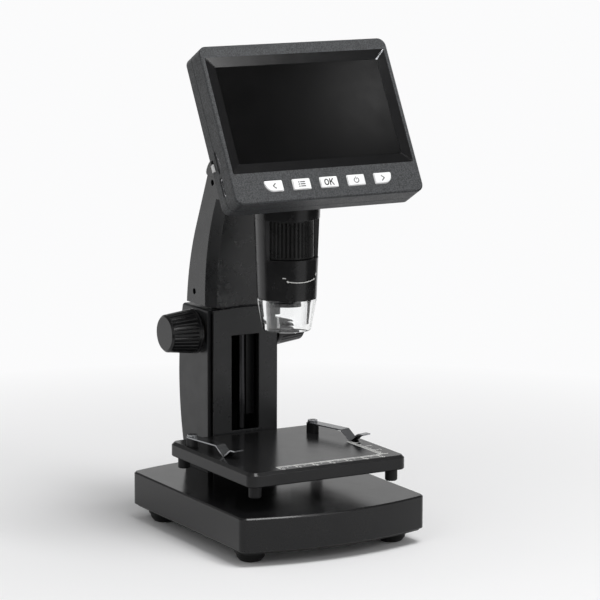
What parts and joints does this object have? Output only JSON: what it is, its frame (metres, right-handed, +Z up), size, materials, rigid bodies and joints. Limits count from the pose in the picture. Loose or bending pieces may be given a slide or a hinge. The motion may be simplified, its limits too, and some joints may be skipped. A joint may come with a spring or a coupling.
{
  "type": "lcd digital microscope",
  "caption": "Desktop digital microscope: tilting LCD housing on a curved arm, lens barrel with clear cap and focus wheel, rack column with side knobs, clip stage and heavy base.",
  "frame": {"origin": "floor point under the middle of the base, in the part's left-right mirror plane", "axes": "+X to the user's right, +Y to the back, +Z up; the screen faces -Y"},
  "size_m": [0.1119, 0.1422, 0.2632],
  "materials": {
    "base_plastic": "gloss black",
    "plate_plastic": "fine texture",
    "foot_rubber": "matt",
    "weight_iron": "raw",
    "screw_steel": "zinc plated",
    "column_plastic": "satin",
    "cover_plastic": "satin gloss",
    "inner_plastic": "matt",
    "foot_metal": "black cast",
    "rod_steel": "ground",
    "bush_brass": "turned",
    "bracket_steel": "black powder coat",
    "stage_plastic": "satin gloss",
    "clip_steel": "polished",
    "knob_plastic": "satin",
    "gear_plastic": "moulded",
    "arm_plastic": "satin",
    "neck_metal": "black anodised",
    "hinge_metal": "black",
    "barrel_plastic": "satin gloss",
    "wheel_rubber": "ribbed",
    "lens_glass": "coated",
    "tube_metal": "black anodised",
    "board": "solder mask",
    "led": "moulded",
    "clear_plastic": "polished",
    "case_plastic": "fine grained",
    "display": "glass front",
    "battery_foil": "foil",
    "button_white": "moulded",
    "socket_steel": "tinned"
  },
  "bodies": {
    "base": {"base_shell": "base_plastic", "base_plate": "plate_plastic", "base_weight": "weight_iron", "rubber_feet": "foot_rubber", "base_screws": "screw_steel", "column_left_shell": "column_plastic", "column_right_shell": "column_plastic", "column_cover": "cover_plastic", "column_frame": "inner_plastic", "column_foot": "foot_metal", "column_screws": "screw_steel", "guide_rod": "rod_steel", "rod_collar": "rod_steel", "shaft_bushes": "bush_brass", "stage_bracket": "bracket_steel", "stage_plate": "stage_plastic", "stage_screws": "screw_steel", "stage_stubs": "plate_plastic", "clip_posts": "plate_plastic", "clip_screws": "clip_steel"},
    "carriage": {"carriage_neck": "neck_metal", "rack": "gear_plastic", "arm_left_shell": "arm_plastic", "arm_right_shell": "arm_plastic", "arm_front_panel": "arm_plastic", "arm_screws": "screw_steel", "head_cover": "arm_plastic", "hinge_bracket": "hinge_metal", "hinge_pin": "rod_steel", "barrel_shell": "barrel_plastic", "barrel_collar": "barrel_plastic", "led_board": "board", "leds": "led", "sensor_board": "board", "clear_cap": "clear_plastic"},
    "knobs": {"knob_shaft": "rod_steel", "pinion": "gear_plastic", "left_knob": "knob_plastic", "right_knob": "knob_plastic"},
    "focus_ring": {"focus_wheel": "wheel_rubber"},
    "lens": {"lens_tube": "tube_metal", "lens_glass": "lens_glass"},
    "screen": {"screen_bezel": "case_plastic", "screen_rear_shell": "case_plastic", "lcd_panel": "display", "main_board": "board", "battery": "battery_foil", "button_board": "board", "hinge_leaf": "hinge_metal", "leaf_screws": "screw_steel", "card_socket": "socket_steel", "usb_socket": "socket_steel"},
    "key_back": {"button_back": "button_white"},
    "key_menu": {"button_menu": "button_white"},
    "key_ok": {"button_ok": "button_white"},
    "key_power": {"button_power": "button_white"},
    "key_next": {"button_next": "button_white"},
    "switch": {"side_switch": "button_white"},
    "clip_left": {"left_clip": "clip_steel"},
    "clip_right": {"right_clip": "clip_steel"}
  },
  "joints": [
    {"name": "carriage_slide", "type": "slide", "parent": "base", "child": "carriage", "axis": [0, 0, 1], "range_m": [0, 0.04]},
    {"name": "knob_spin", "type": "hinge", "parent": "base", "child": "knobs", "pos_m": [0, 0.05, 0.1027], "axis": [-1, 0, 0], "range_deg": [-1, 410.5]},
    {"name": "screen_tilt", "type": "hinge", "parent": "carriage", "child": "screen", "pos_m": [0, -0.02201, 0.20723], "axis": [-1, 0, 0], "range_deg": [-10, 45]},
    {"name": "focus_spin", "type": "hinge", "parent": "carriage", "child": "focus_ring", "pos_m": [0, -0.0108, 0.16], "axis": [0, 0, 1], "range_deg": [-136, 136]},
    {"name": "lens_slide", "type": "slide", "parent": "carriage", "child": "lens", "axis": [0, 0, 1], "range_m": [-0.00188, 0.00188]},
    {"name": "back_press", "type": "slide", "parent": "screen", "child": "key_back", "axis": [0, 0.877, -0.4805], "range_m": [0, 0.0008], "stiffness_N_per_m": 600},
    {"name": "menu_press", "type": "slide", "parent": "screen", "child": "key_menu", "axis": [0, 0.877, -0.4805], "range_m": [0, 0.0008], "stiffness_N_per_m": 600},
    {"name": "ok_press", "type": "slide", "parent": "screen", "child": "key_ok", "axis": [0, 0.877, -0.4805], "range_m": [0, 0.0008], "stiffness_N_per_m": 600},
    {"name": "power_press", "type": "slide", "parent": "screen", "child": "key_power", "axis": [0, 0.877, -0.4805], "range_m": [0, 0.0008], "stiffness_N_per_m": 600},
    {"name": "next_press", "type": "slide", "parent": "screen", "child": "key_next", "axis": [0, 0.877, -0.4805], "range_m": [0, 0.0008], "stiffness_N_per_m": 600},
    {"name": "switch_slide", "type": "slide", "parent": "screen", "child": "switch", "axis": [0, 0.4805, 0.877], "range_m": [0, 0.002]},
    {"name": "left_clip_swivel", "type": "hinge", "parent": "base", "child": "clip_left", "pos_m": [-0.0423, 0.016, 0.0525], "axis": [0, 0, 1], "range_deg": [-60, 75]},
    {"name": "right_clip_swivel", "type": "hinge", "parent": "base", "child": "clip_right", "pos_m": [0.032, 0.017, 0.0525], "axis": [0, 0, 1], "range_deg": [-75, 60]}
  ],
  "couplings": [
    {"joint": "knob_spin", "follows": "carriage_slide", "rad_per_m": 178.57},
    {"joint": "focus_spin", "follows": "lens_slide", "rad_per_m": 1250}
  ]
}
